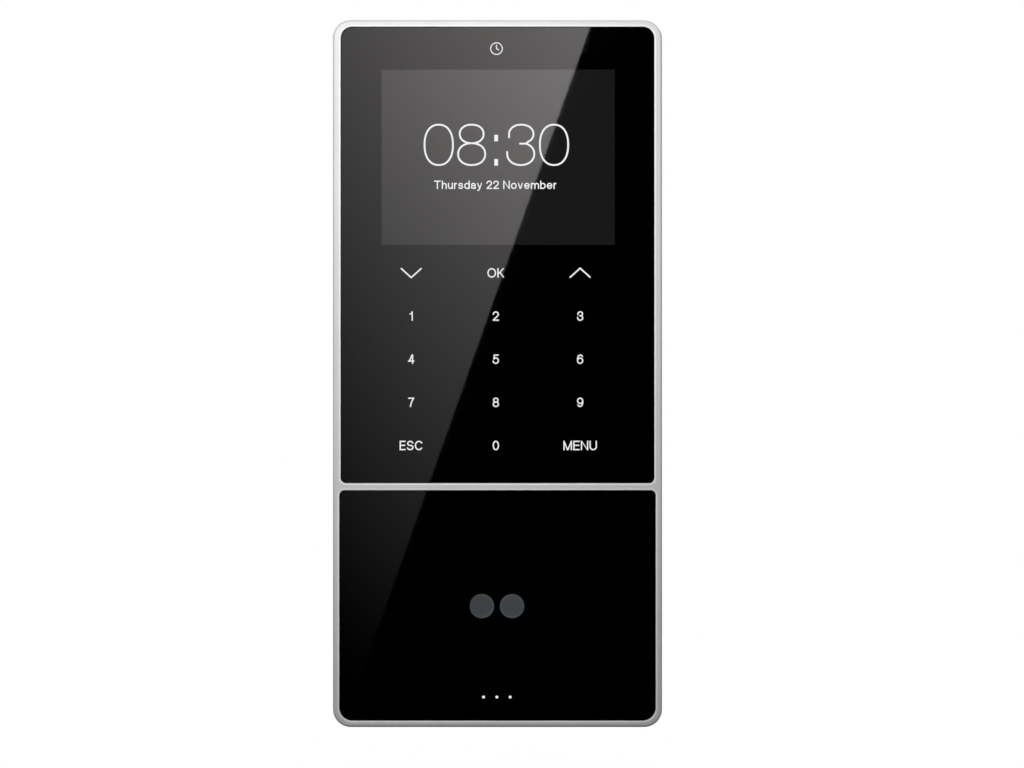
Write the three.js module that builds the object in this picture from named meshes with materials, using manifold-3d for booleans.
// A wall-mounted biometric time clock: silver frame, two glass fronts, display, touch keypad and twin camera
// windows, on a steel wall plate that it hooks onto. Millimetres, +Z up. The wall is the plane y = 0 and the
// glass front faces -Y. The origin is on the wall, at the middle of the terminal's width and height.
import * as THREE from "three";
import { mergeVertices } from "three/addons/utils/BufferGeometryUtils.js";
import Module from "manifold-3d";

const wasm = await Module();
wasm.setup();

// ---------------------------------------------------------------- driving dimensions

const WIDTH = 98.8;
const HEIGHT = 212.2;
const DEPTH = 34;
const CORNER = 5.4; // outer corner radius of the frame, seen from the front
const GAP = 0.2; // clearance between neighbouring pieces

const FRAME_FRONT = -DEPTH;
const FRAME_BACK = -21;
const FRAME_WALL = 1.8;
const GLASS_FRONT = FRAME_FRONT + 0.4;
const GLASS_BACK = GLASS_FRONT + 2;
const LEDGE_FRONT = GLASS_BACK + 0.6;
const LEDGE_BACK = LEDGE_FRONT + 1.5;
const LEDGE_HALF_WIDTH = 43.6;
const LEDGE_WIDTH = 3.5;

// Each glass sits in a pocket of the frame: half width, lower and upper edge, lower and upper corner radius.
const UPPER_POCKET = { half: 47.1, low: -32.95, high: 104.1, lowRadius: 1.6, highRadius: 3.5 };
const LOWER_POCKET = { half: 47.5, low: -104.2, high: -35.0, lowRadius: 3.9, highRadius: 1.6 };

const HOUSING_INSET = 1.2;
const HOUSING_FRONT = -20;
const HOUSING_BACK = -0.8;
const HOUSING_WALL = 2;
const HOUSING = {
  half: WIDTH / 2 - HOUSING_INSET,
  top: HEIGHT / 2 - HOUSING_INSET,
  radius: CORNER - HOUSING_INSET,
};
const CAVITY = {
  half: HOUSING.half - HOUSING_WALL,
  top: HOUSING.top - HOUSING_WALL,
  radius: HOUSING.radius - 1.6,
};
const REAR_WALL = { outer: -5, inner: -7 };

// The connector bay is a pocket in the rear wall, behind the wall plate's cable window.
const BAY = { half: 27, low: -60, high: -14, floor: -20.4, wall: 1.6 };

const SCREEN = { x: 0.2, z: 64.9, width: 73, height: 57 };
const KEYPAD = { x: -0.5, z: 4.3, half: 38, halfHeight: 29.5 };
const KEY_COLUMNS = [-25.35, 0, 25.35];
const KEY_ROWS = [25.9, 12.95, 0, -12.95, -25.9];
const CAMERAS = { x: -0.15, z: -69.8, pitch: 9.06, windowRadius: 3.7 };
const STATUS = { x: -0.2, z: -97.1, pitch: 4, radius: 0.45 };

const MID_FRAME = { front: -27.6, back: -26.1, half: 40.2, low: -99.5, high: 101 };
const MAIN_BOARD = { front: -24.3, back: -22.7, half: 38, low: -11, high: 88 };
const IO_BOARD = { front: -15.6, back: -14, left: 14.4, right: 39.2, low: -100.8, high: -68.5 };

const CASE_SCREWS = [
  [-43.2, 97.5],
  [43.2, 97.5],
  [-43.2, -97.5],
  [43.2, -97.5],
];
const FRAME_SCREWS = [
  [-45.2, 78],
  [45.2, 78],
  [-45.2, -78],
  [45.2, -78],
];
const BOARD_SCREWS = [
  [-34, 84],
  [34, 84],
  [-34, 10],
  [34, 10],
];

const PLATE = { thickness: 1.5, half: 40, low: -92, high: 84, radius: 5 };
const HOOK = { x: 26, half: 6, reach: 8.9, rise: 5, webTops: [46, -80] };
const SLOT = { half: 7, above: 0.25, height: 10 };
const PLATE_HOLES = [
  [-30, 73],
  [30, 73],
  [-30, -87],
  [30, -87],
];
const LOCK = { y: -9.5, tabTop: -101, tabHalf: 10, tabReach: 13, pocketTop: -100.6 };

const USB = { x: 23.2, mouth: -103.3, front: -14, back: -7.3, half: 7.25 };
const FLAP = { left: 14.2, right: 32.2, hingeY: -15.9, hingeZ: -103.75, recess: 1.3 };
const RESET = { x: 35.8, y: -11 };
const TAMPER = { x: 33, z: 22, pin: 2 };
const SPEAKER = { left: -38.6, right: -15.4, front: -20, back: -8.2 };

// ---------------------------------------------------------------- finishes

function finish(color, roughness, metalness = 0) {
  return new THREE.MeshStandardMaterial({ color, roughness, metalness });
}

const SILVER = finish(0xc9cac8, 0.35, 0.6);
const BLACK_GLASS = finish(0x050505, 0.05);
const BLACK_PLASTIC = finish(0x17181a, 0.55);
const GREY_PLASTIC = finish(0x3a3c3e, 0.6);
const BOARD_GREEN = finish(0x1c5a35, 0.5);
const STEEL = finish(0x9a9c9e, 0.35, 0.9);
const PLATE_PAINT = finish(0x2b2d2f, 0.5, 0.3);
const BRASS = finish(0xb8975a, 0.35, 0.9);
const RUBBER = finish(0x101010, 0.85);
const CLEAR = finish(0xdfe6ea, 0.1);
const FILTER = finish(0x42484c, 0.2);
const SCREEN_GLASS = finish(0x141416, 0.1);
const TERMINAL_GREEN = finish(0x2f7d46, 0.5);
const RIBBON_WHITE = finish(0xd8d8d2, 0.5);

// ---------------------------------------------------------------- solids

// A closed geometry as a manifold-3d solid, for joining and cutting.
function solid(geometry) {
  const bare = geometry.clone();
  bare.deleteAttribute("normal");
  bare.deleteAttribute("uv");
  const merged = mergeVertices(bare, 1e-4);
  const mesh = new wasm.Mesh({
    numProp: 3,
    vertProperties: new Float32Array(merged.attributes.position.array),
    triVerts: new Uint32Array(merged.index.array),
  });
  return new wasm.Manifold(mesh);
}

function join(first, ...others) {
  return others.reduce((sum, other) => sum.add(other), first);
}

function cut(base, ...tools) {
  return tools.reduce((rest, tool) => rest.subtract(tool), base);
}

function box(x0, x1, y0, y1, z0, z1) {
  const geometry = new THREE.BoxGeometry(x1 - x0, y1 - y0, z1 - z0);
  geometry.translate((x0 + x1) / 2, (y0 + y1) / 2, (z0 + z1) / 2);
  return solid(geometry);
}

// Round bars along one axis, given by the two other coordinates of the axis and the two ends.
function barY(x, z, radius, y0, y1, sides = 16) {
  const geometry = new THREE.CylinderGeometry(radius, radius, y1 - y0, sides);
  geometry.translate(x, (y0 + y1) / 2, z);
  return solid(geometry);
}

function barZ(x, y, radius, z0, z1, sides = 16) {
  const geometry = new THREE.CylinderGeometry(radius, radius, z1 - z0, sides);
  geometry.rotateX(Math.PI / 2).translate(x, y, (z0 + z1) / 2);
  return solid(geometry);
}

function barX(y, z, radius, x0, x1, sides = 12) {
  const geometry = new THREE.CylinderGeometry(radius, radius, x1 - x0, sides);
  geometry.rotateZ(Math.PI / 2).translate((x0 + x1) / 2, y, z);
  return solid(geometry);
}

// An outline in the front view: a rectangle with one radius for its lower corners and one for its upper ones.
function outline(x0, x1, z0, z1, lowRadius, highRadius = lowRadius) {
  const shape = new THREE.Shape();
  shape.absarc(x1 - lowRadius, z0 + lowRadius, lowRadius, -Math.PI / 2, 0);
  shape.absarc(x1 - highRadius, z1 - highRadius, highRadius, 0, Math.PI / 2);
  shape.absarc(x0 + highRadius, z1 - highRadius, highRadius, Math.PI / 2, Math.PI);
  shape.absarc(x0 + lowRadius, z0 + lowRadius, lowRadius, Math.PI, Math.PI * 1.5);
  shape.closePath();
  return shape;
}

// An outline made into a slab between two depths. A positive edge rounds both rims inwards; a negative one
// flares the slab, which is the tool that breaks the rim of an opening.
function slab(shape, front, back, { edge = 0, steps = 2, segments = 6 } = {}) {
  const size = Math.abs(edge);
  const geometry = new THREE.ExtrudeGeometry(shape, {
    depth: back - front - 2 * size,
    curveSegments: segments,
    bevelEnabled: size > 0,
    bevelThickness: size,
    bevelSize: size,
    bevelOffset: edge > 0 ? -size : 0,
    bevelSegments: steps,
  });
  geometry.rotateX(Math.PI / 2).translate(0, back - size, 0);
  return solid(geometry);
}

// A flat strip of the given thickness that follows points (y, z) in side view, between two x positions.
function strip(points, thickness, x0, x1) {
  const line = new THREE.CatmullRomCurve3(points.map(([y, z]) => new THREE.Vector3(y, z, 0)));
  const count = points.length * 3;
  const sides = [[], []];
  for (let i = 0; i <= count; i++) {
    const at = line.getPoint(i / count);
    const along = line.getTangent(i / count);
    const normal = new THREE.Vector2(-along.y, along.x).normalize().multiplyScalar(thickness / 2);
    sides[0].push(new THREE.Vector2(at.x - normal.x, at.y - normal.y));
    sides[1].unshift(new THREE.Vector2(at.x + normal.x, at.y + normal.y));
  }
  const geometry = new THREE.ExtrudeGeometry(new THREE.Shape([...sides[0], ...sides[1]]), {
    depth: x1 - x0,
    bevelEnabled: false,
  });
  const sideView = new THREE.Matrix4().makeBasis(
    new THREE.Vector3(0, 1, 0),
    new THREE.Vector3(0, 0, 1),
    new THREE.Vector3(1, 0, 0),
  );
  geometry.applyMatrix4(sideView).translate(x0, 0, 0);
  return solid(geometry);
}

// A body turned about an axis along Y, from profile points (radius, y) that start and end on the axis.
function turned(x, z, profile, sides = 16) {
  const geometry = new THREE.LatheGeometry(
    profile.map(([radius, y]) => new THREE.Vector2(radius, y)),
    sides,
  );
  geometry.translate(x, 0, z);
  return solid(geometry);
}

// A pan-head screw along Y with its head towards +Y and a hexagon socket.
function screwY(x, z, seat, head, shank) {
  const body = turned(
    x,
    z,
    [
      [0, seat - shank.length],
      [shank.radius * 0.7, seat - shank.length],
      [shank.radius, seat - shank.length + shank.radius * 0.5],
      [shank.radius, seat],
      [head.radius, seat],
      [head.radius, seat + head.height * 0.6],
      [head.radius * 0.75, seat + head.height],
      [0, seat + head.height],
    ],
    12,
  );
  const socket = barY(x, z, head.radius * 0.45, seat + head.height * 0.4, seat + head.height + 1, 6);
  return cut(body, socket);
}

const group = new THREE.Group();

function piece(name, body, material) {
  const { vertProperties, triVerts, numProp } = body.getMesh();
  if (numProp !== 3) throw new Error(`${name} has more than positions`);
  const geometry = new THREE.BufferGeometry();
  geometry.setAttribute("position", new THREE.BufferAttribute(new Float32Array(vertProperties), 3));
  geometry.setIndex(new THREE.BufferAttribute(new Uint32Array(triVerts), 1));
  const mesh = new THREE.Mesh(geometry, material);
  mesh.name = name;
  group.add(mesh);
}

const both = [-1, 1];

// ---------------------------------------------------------------- front frame and glass

function pocketOutline(pocket, inset = 0) {
  return outline(
    -pocket.half + inset,
    pocket.half - inset,
    pocket.low + inset,
    pocket.high - inset,
    Math.max(pocket.lowRadius - inset, 0.8),
    Math.max(pocket.highRadius - inset, 0.8),
  );
}

function ledgeOutline(pocket, outset = 0) {
  return outline(
    -LEDGE_HALF_WIDTH - outset,
    LEDGE_HALF_WIDTH + outset,
    pocket.low + LEDGE_WIDTH - outset,
    pocket.high - LEDGE_WIDTH + outset,
    2,
  );
}

// A silver frame with a crossbar. Both glasses drop into pockets from the front and rest on a ledge; the bosses
// behind the ledge take the case screws and the screws of the middle frame.
function frontFrame() {
  const outerEdge = 0.7;
  const innerEdge = 0.35;
  const beyond = 4;
  const half = WIDTH / 2;
  const top = HEIGHT / 2;
  const outer = outline(-half, half, -top, top, CORNER);
  const rounded = slab(outer, FRAME_FRONT, FRAME_BACK - 4, { edge: outerEdge, steps: 3 });
  const straight = slab(outer, FRAME_BACK - 8, FRAME_BACK);
  const inside = outline(
    -half + FRAME_WALL,
    half - FRAME_WALL,
    -top + FRAME_WALL,
    top - FRAME_WALL,
    CORNER - FRAME_WALL,
  );
  let frame = cut(join(rounded, straight), slab(inside, LEDGE_BACK, FRAME_BACK + 1));
  for (const pocket of [UPPER_POCKET, LOWER_POCKET]) {
    frame = cut(
      frame,
      slab(pocketOutline(pocket), FRAME_FRONT - 1, LEDGE_FRONT),
      slab(pocketOutline(pocket), FRAME_FRONT - beyond, FRAME_FRONT + innerEdge, {
        edge: -innerEdge,
        steps: 1,
      }),
      slab(ledgeOutline(pocket), LEDGE_FRONT - 1, LEDGE_BACK + 1, { segments: 3 }),
    );
  }
  const bossBack = -14.3;
  for (const [x, z] of CASE_SCREWS) {
    const ribEnd = Math.sign(x) * (half - FRAME_WALL / 2);
    frame = join(
      frame,
      barY(x, z, 2.5, LEDGE_BACK - 1, bossBack, 12),
      box(Math.min(x, ribEnd), Math.max(x, ribEnd), LEDGE_BACK - 1, FRAME_BACK - 0.5, z - 0.8, z + 0.8),
    );
    frame = cut(frame, barY(x, z, 1.35, -25, bossBack + 1, 10));
  }
  for (const [x, z] of FRAME_SCREWS) {
    frame = join(frame, barY(x, z, 2.2, LEDGE_BACK - 1, MID_FRAME.front - GAP, 12));
    frame = cut(frame, barY(x, z, 1.05, -30.5, MID_FRAME.front + 1, 8));
  }
  piece("front_frame", frame, SILVER);
}

function glassFront(name, pocket) {
  const glassInset = 0.15;
  piece(
    `${name}_glass`,
    slab(pocketOutline(pocket, glassInset), GLASS_FRONT, GLASS_BACK, { edge: 0.2, steps: 1 }),
    BLACK_GLASS,
  );
  const tape = cut(
    slab(pocketOutline(pocket, 0.5), GLASS_BACK + 0.1, LEDGE_FRONT - 0.1, { segments: 4 }),
    slab(ledgeOutline(pocket, GAP), GLASS_BACK - 1, LEDGE_FRONT + 1, { segments: 3 }),
  );
  piece(`${name}_glass_tape`, tape, RUBBER);
}

// ---------------------------------------------------------------- display and keypad

function display() {
  const front = GLASS_BACK + GAP;
  const { x, z, width, height } = SCREEN;
  const tray = { half: 38.45, low: z - 30.1, high: z + 29.9, back: front + 3.2 };
  const slack = 0.2;
  piece(
    "display_backlight",
    cut(
      box(x - tray.half, x + tray.half, front, tray.back, tray.low, tray.high),
      box(
        x - width / 2 - slack,
        x + width / 2 + slack,
        front - 1,
        front + 1.4,
        z - height / 2 - slack,
        z + height / 2 + slack,
      ),
    ),
    STEEL,
  );
  piece(
    "display_panel",
    box(x - width / 2, x + width / 2, front, front + 1.2, z - height / 2, z + height / 2),
    SCREEN_GLASS,
  );
}

function keypad() {
  const front = GLASS_BACK + GAP;
  const { x, z, half, halfHeight } = KEYPAD;
  const layer = (from, to, inset) =>
    box(x - half + inset, x + half - inset, from, to, z - halfHeight + inset, z + halfHeight - inset);
  const window = { half: 5.4, halfHeight: 2.6 };
  let sensor = layer(front, front + 0.5, 0);
  for (const column of KEY_COLUMNS) {
    for (const row of KEY_ROWS) {
      const [cx, cz] = [x + column, z + row];
      sensor = cut(
        sensor,
        box(
          cx - window.half,
          cx + window.half,
          front - 1,
          front + 1,
          cz - window.halfHeight,
          cz + window.halfHeight,
        ),
      );
    }
  }
  piece("touch_sensor", sensor, FILTER);
  piece("legend_light_guide", layer(front + 0.7, front + 2.1, 0.5), CLEAR);
  piece("keypad_board", layer(front + 2.3, front + 3.4, 0), BOARD_GREEN);
}

// ---------------------------------------------------------------- sensor section, behind the lower glass

function sensors() {
  const front = GLASS_BACK + GAP;
  const { x, z, pitch, windowRadius } = CAMERAS;
  const sides = { left: x - pitch / 2, right: x + pitch / 2 };
  const lensFront = front + 0.7;
  for (const [side, at] of Object.entries(sides)) {
    piece(`${side}_camera_window`, barY(at, z, windowRadius, GLASS_BACK + 0.1, front + 0.5, 32), FILTER);
    piece(
      `${side}_camera`,
      turned(
        at,
        z,
        [
          [0, -24.9],
          [3.5, -24.9],
          [3.5, lensFront + 0.4],
          [3.1, lensFront],
          [2.5, lensFront],
          [2.3, lensFront + 0.5],
          [1.6, lensFront + 0.25],
          [0, lensFront + 0.1],
        ].reverse(),
        20,
      ),
      BLACK_PLASTIC,
    );
  }
  piece("camera_board", box(-14, 13.7, -24.7, -23.7, -80, -58), BOARD_GREEN);
  piece(
    "reader_antenna_board",
    cut(
      slab(outline(-38.5, 38.5, -94, -40, 2), front, front + 1, { segments: 3 }),
      box(-13.5, 13.2, front - 1, front + 2, -78.5, -61),
    ),
    BOARD_GREEN,
  );
}

function statusLights() {
  const front = GLASS_BACK + GAP;
  const { x, z, pitch, radius } = STATUS;
  const spots = [x - pitch, x, x + pitch];
  const guide = box(x - 6, x + 6, -29.6, -28, z - 1, z + 1);
  piece(
    "status_light_pipe",
    join(guide, ...spots.map((spot) => barY(spot, z, radius, front, -29, 12))),
    CLEAR,
  );
  const board = box(-10, 10, -25.9, -24.9, -99, -92);
  const diodes = spots.map((spot) => box(spot - 0.8, spot + 0.8, -27.2, -25.5, z - 0.4, z + 0.4));
  piece("status_board", join(board, ...diodes), BOARD_GREEN);
}

// ---------------------------------------------------------------- middle frame and main board

// A moulded plate that carries the boards. A raised block holds both camera barrels.
function midFrame() {
  const { front, back, half, low, high } = MID_FRAME;
  const rim = { front: -29.2, width: 1.2 };
  const inner = half - rim.width;
  const plate = box(-half, half, front, back, low, high);
  const edge = cut(
    box(-half, half, rim.front, back, low, high),
    box(-inner, inner, rim.front - 1, back + 1, low + rim.width, high - rim.width),
  );
  const block = box(CAMERAS.x - 12, CAMERAS.x + 12, -30, -25, CAMERAS.z - 7.2, CAMERAS.z + 7.2);
  let frame = join(plate, edge, block);
  for (const [x, z] of FRAME_SCREWS) {
    const side = Math.sign(x);
    const near = side * (half - 1);
    const far = side * 47;
    frame = join(frame, box(Math.min(near, far), Math.max(near, far), front, back, z - 3.5, z + 3.5));
    frame = cut(frame, barY(x, z, 1.2, front - 1, back + 1, 8));
  }
  for (const [x, z] of BOARD_SCREWS) {
    frame = join(frame, barY(x, z, 2.4, front, MAIN_BOARD.front - 0.15, 12));
    frame = cut(frame, barY(x, z, 1.2, front + 0.4, MAIN_BOARD.front + 1, 8));
  }
  for (const side of both) {
    const at = CAMERAS.x + (side * CAMERAS.pitch) / 2;
    frame = cut(frame, barY(at, CAMERAS.z, 3.75, -31, -24, 20));
  }
  const ribbonSlots = [
    box(-11, 11, front - 1, back + 1, 30.5, 36.5),
    box(11, 25, front - 1, back + 1, -34, -27.5),
  ];
  const lightWindow = box(-7.5, 7.1, front - 1, back + 1, STATUS.z - 1.7, STATUS.z + 1.7);
  piece("middle_frame", cut(frame, ...ribbonSlots, lightWindow), GREY_PLASTIC);
  FRAME_SCREWS.forEach(([x, z], i) => {
    const screw = screwY(x, z, back + 0.1, { radius: 1.9, height: 1.4 }, { radius: 0.9, length: 4.3 });
    piece(`frame_screw_${i + 1}`, screw, STEEL);
  });
}

function mainBoard() {
  const { front, back, half, low, high } = MAIN_BOARD;
  const holes = BOARD_SCREWS.map(([x, z]) => barY(x, z, 1.4, front - 1, back + 1, 8));
  piece("main_board", cut(box(-half, half, front, back, low, high), ...holes), BOARD_GREEN);
  BOARD_SCREWS.forEach(([x, z], i) => {
    const screw = screwY(x, z, back + 0.1, { radius: 2.3, height: 1.6 }, { radius: 1.05, length: 4.4 });
    piece(`board_screw_${i + 1}`, screw, STEEL);
  });
  const mounted = back + 0.1;
  piece("processor_shield", slab(outline(-4, 24, 56, 84, 1), mounted, mounted + 2.6, { segments: 2 }), STEEL);
  piece("wireless_module", box(-36, -18, mounted, mounted + 3, 26, 50), STEEL);
  const cell = { x: -20, z: 68, radius: 10 };
  const cellFront = mounted + 1.2;
  piece(
    "coin_cell_holder",
    cut(
      box(cell.x - 12, cell.x + 12, mounted, mounted + 4.6, cell.z - 11.5, cell.z + 11.5),
      barY(cell.x, cell.z, cell.radius + 0.3, cellFront - 0.1, mounted + 6, 24),
      box(cell.x - 4, cell.x + 4, cellFront - 0.1, mounted + 6, cell.z, cell.z + 12),
    ),
    BLACK_PLASTIC,
  );
  piece("coin_cell", barY(cell.x, cell.z, cell.radius, cellFront, cellFront + 3.2, 24), STEEL);
}

// Sockets whose mouths open downwards into the connector bay.
function baySockets() {
  const base = MAIN_BOARD.back + 0.1;
  const mouth = BAY.high + 0.2;
  const network = { left: -25.5, right: -9.5, back: -9.3, top: 2.2 };
  const middle = (network.left + network.right) / 2;
  piece(
    "ethernet_jack",
    cut(
      box(network.left, network.right, base, network.back, mouth, network.top),
      box(middle - 5.9, middle + 5.9, -19.6, -12.8, mouth - 1, mouth + 12),
      box(middle - 3, middle + 3, -14, -11, mouth - 1, mouth + 12),
    ),
    STEEL,
  );
  const power = { left: -6, right: 3, back: -11.7, top: 0.2, y: -16.6 };
  const powerX = (power.left + power.right) / 2;
  piece(
    "power_jack",
    join(
      cut(
        box(power.left, power.right, base, power.back, mouth, power.top),
        barZ(powerX, power.y, 3.1, mouth - 1, mouth + 9.5, 20),
      ),
      barZ(powerX, power.y, 1, mouth + 0.6, mouth + 10, 10),
    ),
    BLACK_PLASTIC,
  );
  const wires = { left: 6.6, right: 25.1, back: -13.7, top: -4.8, count: 5, pitch: 3.5 };
  let block = box(wires.left, wires.right, base, wires.back, mouth, wires.top);
  const firstWire = (wires.left + wires.right - (wires.count - 1) * wires.pitch) / 2;
  for (let i = 0; i < wires.count; i++) {
    const x = firstWire + i * wires.pitch;
    block = cut(
      block,
      box(x - 1.25, x + 1.25, -20.2, -16.8, mouth - 1, mouth + 6),
      barY(x, mouth + 4.5, 1.25, wires.back - 2.5, wires.back + 1, 8),
    );
  }
  piece("terminal_block", block, TERMINAL_GREEN);
}

function ribbons() {
  const thickness = 0.2;
  const display = [
    [-27.9, 42],
    [-27.9, 37],
    [-27, 33.5],
    [-25.6, 32.2],
    [-25.1, 29.5],
    [-25.1, 24],
  ];
  const keys = [
    [-27.8, -18],
    [-27.8, -26],
    [-27.4, -29.6],
    [-26.2, -30.8],
    [-25.2, -29],
    [-24.95, -22],
    [-24.95, -4],
  ];
  const cameras = [
    [-23.4, -70],
    [-23.4, -57],
    [-24.2, -40],
    [-25, -22],
    [-25.1, -8],
    [-25.1, 0],
  ];
  const sockets = [
    [-15.9, -82],
    [-15.95, -72],
    [-19.5, -48],
    [-23.4, -26],
    [-24.9, -12],
    [-24.95, 0],
  ];
  piece("display_ribbon", strip(display, thickness, -10, 10), RIBBON_WHITE);
  piece("keypad_ribbon", strip(keys, thickness, 12, 24), RIBBON_WHITE);
  piece("camera_ribbon", strip(cameras, thickness, -6, 6), RIBBON_WHITE);
  piece("socket_ribbon", strip(sockets, thickness, 29.6, 37), RIBBON_WHITE);
}

// ---------------------------------------------------------------- tamper switch

// The pin presses on the wall plate and is pushed back into the switch; a coil spring returns it.
function tamperSwitch() {
  const { x, z, pin } = TAMPER;
  const body = { back: -14.6, boreEnd: -18.6 };
  const flange = { front: -8.9, back: -8.1, radius: 3.5 };
  const tip = -PLATE.thickness - GAP;
  const bore = pin + 0.3;
  piece(
    "tamper_switch",
    cut(
      box(x - 4.5, x + 4.5, MAIN_BOARD.back + 0.1, body.back, z - 4.5, z + 4.5),
      barY(x, z, bore, body.boreEnd, body.back + 1, 16),
    ),
    BLACK_PLASTIC,
  );
  piece(
    "tamper_plunger",
    turned(x, z, [
      [0, body.back - 1.6],
      [pin, body.back - 1.6],
      [pin, flange.front],
      [flange.radius, flange.front],
      [flange.radius, flange.back],
      [pin, flange.back],
      [pin, tip - 0.5],
      [pin - 0.5, tip],
      [0, tip],
    ]),
    GREY_PLASTIC,
  );
  const spring = { radius: 2.85, wire: 0.22, turns: 5 };
  const from = body.back + spring.wire + 0.1;
  const to = flange.front - spring.wire - 0.1;
  const turn = 12;
  const count = spring.turns * turn;
  const points = [];
  for (let i = 0; i <= count; i++) {
    const angle = (i / turn) * 2 * Math.PI;
    const y = from + ((to - from) * i) / count;
    points.push(
      new THREE.Vector3(x + spring.radius * Math.cos(angle), y, z + spring.radius * Math.sin(angle)),
    );
  }
  const wire = new THREE.Shape().absarc(0, 0, spring.wire, 0, 2 * Math.PI);
  const coil = new THREE.ExtrudeGeometry(wire, {
    steps: count,
    curveSegments: 5,
    extrudePath: new THREE.CatmullRomCurve3(points),
    bevelEnabled: false,
  });
  piece("tamper_spring", solid(coil), STEEL);
}

// ---------------------------------------------------------------- lower right: USB socket, flap and reset

function socketBoard() {
  const { front, back, left, right, low, high } = IO_BOARD;
  const posts = [
    [17.5, -72],
    [27, -72],
  ];
  const holes = posts.map(([x, z]) => barY(x, z, 1.25, front - 1, back + 1, 10));
  piece("socket_board", cut(box(left, right, front, back, low, high), ...holes), BOARD_GREEN);
  const { x, mouth, half } = USB;
  const shell = box(x - half, x + half, back + 0.1, USB.back, mouth, -90);
  const hollow = box(x - 6.2, x + 6.2, -13.1, -8.1, mouth - 1, mouth + 11);
  const tongue = box(x - 5.4, x + 5.4, -10.6, -8.8, mouth + 1.8, mouth + 11.5);
  piece("usb_socket", join(cut(shell, hollow), tongue), STEEL);
  piece(
    "reset_switch",
    cut(
      box(RESET.x - 2.6, RESET.x + 2.6, back + 0.1, -8.1, -98.5, -94.8),
      barZ(RESET.x, RESET.y, 1.75, -99, -97.2, 12),
    ),
    BLACK_PLASTIC,
  );
  piece("reset_button", barZ(RESET.x, RESET.y, 1.5, -102.4, -98, 12), GREY_PLASTIC);
  return posts;
}

// The flap covers the USB socket. It turns on a steel pin held in the walls of its recess.
function usbFlap() {
  const { left, right, hingeY, hingeZ } = FLAP;
  const lower = -HOUSING.top + 0.1;
  const barrel = barX(hingeY, hingeZ, 1.05, left + 0.4, right - 0.4);
  const cover = box(left + 0.3, right - 0.3, hingeY, -6.3, lower, lower + 1);
  const plug = box(USB.x - 5.2, USB.x + 5.2, -12.4, -9.2, lower + 0.5, lower + 2.6);
  const bore = barX(hingeY, hingeZ, 0.65, left - 1, right + 1);
  piece("usb_flap", cut(join(barrel, cover, plug), bore), RUBBER);
  piece("usb_flap_pin", barX(hingeY, hingeZ, 0.5, left - 0.8, right + 0.8, 8), STEEL);
}

// ---------------------------------------------------------------- lower left: speaker

function speaker() {
  const { left, right, front, back } = SPEAKER;
  const middle = (left + right) / 2;
  const depth = (front + back) / 2;
  const floor = -CAVITY.top;
  const can = box(left, right, front, back, floor + 1, floor + 6);
  const cone = barZ(middle, depth, 5.2, floor, floor + 2.2, 20);
  const cap = barZ(middle, depth, 2, floor + 1.2, floor + 3, 12);
  piece("speaker", join(cut(can, cone), cap), BLACK_PLASTIC);
  const ring = cut(
    box(left, right, front, back, floor + 0.15, floor + 0.85),
    box(left + 1.2, right - 1.2, front + 1.2, back - 1.2, floor - 1, floor + 2),
  );
  piece("speaker_gasket", ring, RUBBER);
}

// ---------------------------------------------------------------- rear housing

function housingShell() {
  const { half, top, radius } = HOUSING;
  const outer = outline(-half, half, -top, top, radius);
  const inner = outline(-CAVITY.half, CAVITY.half, -CAVITY.top, CAVITY.top, CAVITY.radius);
  const shell = join(
    slab(outer, HOUSING_FRONT, -6),
    slab(outer, -12, HOUSING_BACK, { edge: 0.8, steps: 2 }),
  );
  return cut(
    shell,
    slab(inner, HOUSING_FRONT - 1, REAR_WALL.inner, { segments: 4 }),
    slab(inner, REAR_WALL.outer, HOUSING_BACK + 1, { segments: 4 }),
  );
}

function connectorBay(shell) {
  const { half, low, high, floor, wall } = BAY;
  const walls = box(-half - wall, half + wall, floor - wall, REAR_WALL.inner + 1, low - wall, high + wall);
  const hollow = box(-half, half, floor, REAR_WALL.outer + 1, low, high);
  const slack = 0.25;
  const mouths = [
    [-25.5, -9.5, -9.3],
    [-6, 3, -11.7],
    [6.6, 25.1, -13.7],
  ].map(([left, right, back]) =>
    box(left - slack, right + slack, floor - wall - 1, back + slack, high - 0.1, high + wall + 0.1),
  );
  return cut(join(shell, walls), hollow, ...mouths);
}

function screwTowers(shell) {
  for (const [x, z] of CASE_SCREWS) {
    shell = join(shell, barY(x, z, 3.8, -14, REAR_WALL.inner + 1, 20));
    shell = cut(
      shell,
      barY(x, z, 2.9, -12, REAR_WALL.outer + 1, 16),
      barY(x, z, 1.6, -15, -11, 12),
    );
  }
  return shell;
}

function lockPocket(shell) {
  const wall = 1.6;
  const half = LOCK.tabHalf + 2;
  const front = -LOCK.tabReach - 1.5;
  const top = LOCK.pocketTop;
  const bottom = -HOUSING.top;
  return cut(
    join(
      shell,
      box(-half - wall, half + wall, front - wall, REAR_WALL.outer, bottom, top + wall),
      barZ(0, LOCK.y, 4, top, -94.4, 20),
    ),
    box(-half, half, front, 1, bottom - 1, top),
    barZ(0, LOCK.y, 2.6, top - 1, -95, 16),
  );
}

function usbRecess(shell) {
  const { left, right, hingeY, hingeZ, recess } = FLAP;
  const bottom = -HOUSING.top;
  const edge = hingeY - 1.3;
  return cut(
    join(shell, box(left - 1.4, right + 1.4, edge - 1.4, REAR_WALL.inner + 0.5, bottom + 1, bottom + 3.6)),
    box(left, right, edge, -6, bottom - 1, bottom + recess),
    box(left, right, edge, hingeY + 1.2, bottom - 1, bottom + 2.4),
    barX(hingeY, hingeZ, 0.62, left - 0.95, right + 0.95),
    box(USB.x - USB.half - 0.25, USB.x + USB.half + 0.25, -14.2, -7.1, bottom + 1, bottom + 5),
  );
}

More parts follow.
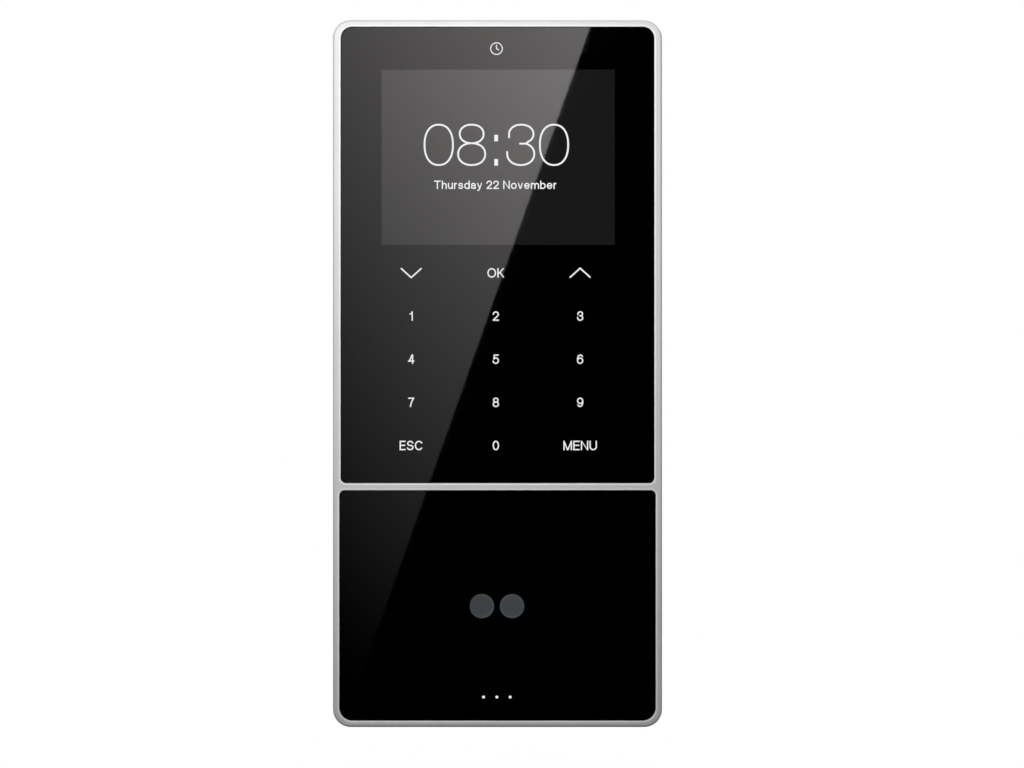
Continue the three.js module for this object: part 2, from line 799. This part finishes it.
function speakerGrille(shell) {
  const slots = { count: 8, pitch: 2.4, width: 1.3 };
  const middle = (SPEAKER.left + SPEAKER.right) / 2;
  for (let i = 0; i < slots.count; i++) {
    const x = middle + (i - (slots.count - 1) / 2) * slots.pitch;
    shell = cut(
      shell,
      box(x - slots.width / 2, x + slots.width / 2, -18, -10, -HOUSING.top - 1, -CAVITY.top + 1),
    );
  }
  return shell;
}

function rearHousing(posts) {
  let shell = speakerGrille(usbRecess(lockPocket(screwTowers(connectorBay(housingShell())))));
  for (const side of both) {
    for (const webTop of HOOK.webTops) {
      const high = webTop + SLOT.above;
      const x = side * HOOK.x;
      shell = cut(shell, box(x - SLOT.half, x + SLOT.half, -8, -4, high - SLOT.height, high));
    }
  }
  for (const [x, z] of posts) {
    shell = join(
      shell,
      barY(x, z, 2.2, IO_BOARD.back + GAP, REAR_WALL.inner + 0.5, 12),
      barY(x, z, 1, IO_BOARD.front - 0.8, IO_BOARD.back + 1, 10),
    );
  }
  shell = cut(
    shell,
    barY(TAMPER.x, TAMPER.z, TAMPER.pin + 0.4, -8, -4, 16),
    barZ(RESET.x, RESET.y, 1.1, -HOUSING.top - 1, -CAVITY.top + 1, 12),
  );
  piece("rear_housing", shell, BLACK_PLASTIC);
  CASE_SCREWS.forEach(([x, z], i) => {
    const screw = screwY(x, z, -11.9, { radius: 2.6, height: 1.8 }, { radius: 1.2, length: 12.4 });
    piece(`case_screw_${i + 1}`, screw, STEEL);
  });
}

function housingGasket() {
  const rim = { outer: 0.4, inner: 0.2 };
  const { half, top, radius } = HOUSING;
  const ring = cut(
    slab(
      outline(-half + rim.outer, half - rim.outer, -top + rim.outer, top - rim.outer, radius - rim.outer),
      FRAME_BACK + 0.05,
      HOUSING_FRONT - 0.05,
    ),
    slab(
      outline(
        -CAVITY.half - rim.inner,
        CAVITY.half + rim.inner,
        -CAVITY.top - rim.inner,
        CAVITY.top + rim.inner,
        CAVITY.radius + rim.inner,
      ),
      FRAME_BACK - 1,
      HOUSING_FRONT + 1,
      { segments: 4 },
    ),
  );
  piece("housing_gasket", ring, RUBBER);
}

// ---------------------------------------------------------------- wall plate and lock

// A steel plate screwed to the wall. Four hooks lanced out of it carry the terminal, and the tab at its foot
// takes the lock screw.
function wallPlate() {
  const { thickness, half, low, high, radius } = PLATE;
  const front = -thickness;
  let plate = slab(outline(-half, half, low, high, radius), front, 0, { segments: 4 });
  const flange = { depth: 2.5, low: -80, high: 74 };
  for (const side of both) {
    const inner = side * (half - thickness);
    const outer = side * half;
    plate = join(
      plate,
      box(
        Math.min(inner, outer),
        Math.max(inner, outer),
        front - flange.depth,
        front + 0.5,
        flange.low,
        flange.high,
      ),
    );
  }
  plate = cut(plate, slab(outline(-BAY.half, BAY.half, BAY.low, BAY.high, 3), -3, 1, { segments: 3 }));
  for (const side of both) {
    for (const webTop of HOOK.webTops) {
      const x = side * HOOK.x;
      const [left, right] = [x - HOOK.half, x + HOOK.half];
      const blank = HOOK.reach - thickness + HOOK.rise;
      plate = cut(plate, box(left - 0.2, right + 0.2, -3, 1, webTop, webTop + blank));
      plate = join(
        plate,
        box(left, right, -HOOK.reach, -0.5, webTop - thickness, webTop),
        box(left, right, -HOOK.reach, -HOOK.reach + thickness, webTop - 0.5, webTop + HOOK.rise),
      );
    }
  }
  for (const [x, z] of PLATE_HOLES) {
    plate = cut(plate, barY(x, z, 2.3, -3, 1, 16));
  }
  const keyhole = { z: 64, head: 4.3, neck: 2.3, rise: 8 };
  plate = cut(
    plate,
    barY(0, keyhole.z, keyhole.head, -3, 1, 20),
    barY(0, keyhole.z + keyhole.rise, keyhole.neck, -3, 1, 16),
    box(-keyhole.neck, keyhole.neck, -3, 1, keyhole.z, keyhole.z + keyhole.rise),
  );
  const tabLow = LOCK.tabTop - thickness;
  plate = join(
    plate,
    box(-LOCK.tabHalf, LOCK.tabHalf, front, 0, tabLow, low + 1),
    box(-LOCK.tabHalf, LOCK.tabHalf, -LOCK.tabReach, 0, tabLow, LOCK.tabTop),
  );
  piece("wall_plate", cut(plate, barZ(0, LOCK.y, 1.8, tabLow - 1, LOCK.tabTop + 1)), PLATE_PAINT);
}

function lock() {
  const tabLow = LOCK.tabTop - PLATE.thickness;
  const washer = { low: tabLow - 0.5, high: tabLow - 0.1 };
  const head = { radius: 3, low: -104.8, high: washer.low - 0.1 };
  piece(
    "lock_insert",
    cut(barZ(0, LOCK.y, 2.5, LOCK.pocketTop + 0.1, -95.2), barZ(0, LOCK.y, 1.65, -102, -94)),
    BRASS,
  );
  piece(
    "lock_washer",
    cut(barZ(0, LOCK.y, 3.2, washer.low, washer.high, 20), barZ(0, LOCK.y, 1.7, -104, -102)),
    STEEL,
  );
  piece(
    "lock_screw",
    cut(
      join(
        barZ(0, LOCK.y, head.radius, head.low, head.high, 20),
        barZ(0, LOCK.y, 1.5, head.high - 0.2, -96.5),
      ),
      barZ(0, LOCK.y, 1.3, head.low - 1, head.low + 1.1, 6),
    ),
    STEEL,
  );
}

// ---------------------------------------------------------------- assembly

wallPlate();
lock();
frontFrame();
glassFront("upper", UPPER_POCKET);
glassFront("lower", LOWER_POCKET);
display();
keypad();
sensors();
statusLights();
midFrame();
mainBoard();
baySockets();
ribbons();
tamperSwitch();
rearHousing(socketBoard());
usbFlap();
speaker();
housingGasket();

export default group;
